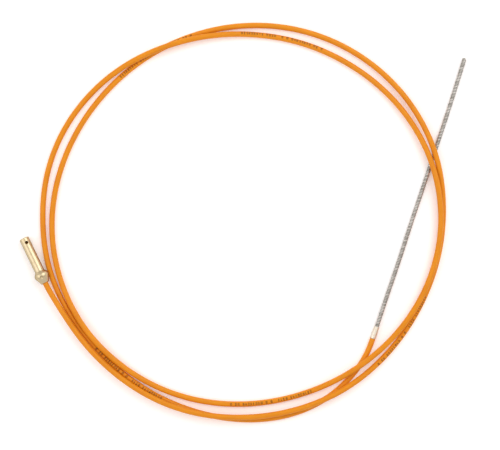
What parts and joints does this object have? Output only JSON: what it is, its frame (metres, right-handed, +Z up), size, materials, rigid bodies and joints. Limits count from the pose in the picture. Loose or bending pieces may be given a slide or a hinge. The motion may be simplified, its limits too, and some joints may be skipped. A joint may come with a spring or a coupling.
{
  "type": "welding torch wire liner",
  "caption": "Coiled steel wire liner in an orange plastic jacket, with a turned brass nipple on its feeder end and a crimped brass ferrule before its bare spiral tail.",
  "frame": {"origin": "middle of the coil's footprint, on the floor that the coil lies on", "axes": "+Z up out of the floor, +Y across the coil towards the bare tail's tip, +X to the side where the tail leaves the coil; the brass nipple is on the -X side"},
  "size_m": [0.4204, 0.3754, 0.0138],
  "materials": {
    "brass": "polished, turned",
    "orange_plastic": "satin, slightly translucent",
    "spring_steel": "bare, closely wound"
  },
  "bodies": {
    "root": {"brass_nipple": "brass", "outer_jacket": "orange_plastic", "spiral_core": "spring_steel", "brass_ferrule": "brass", "spiral_tail": "spring_steel"}
  },
  "joints": []
}
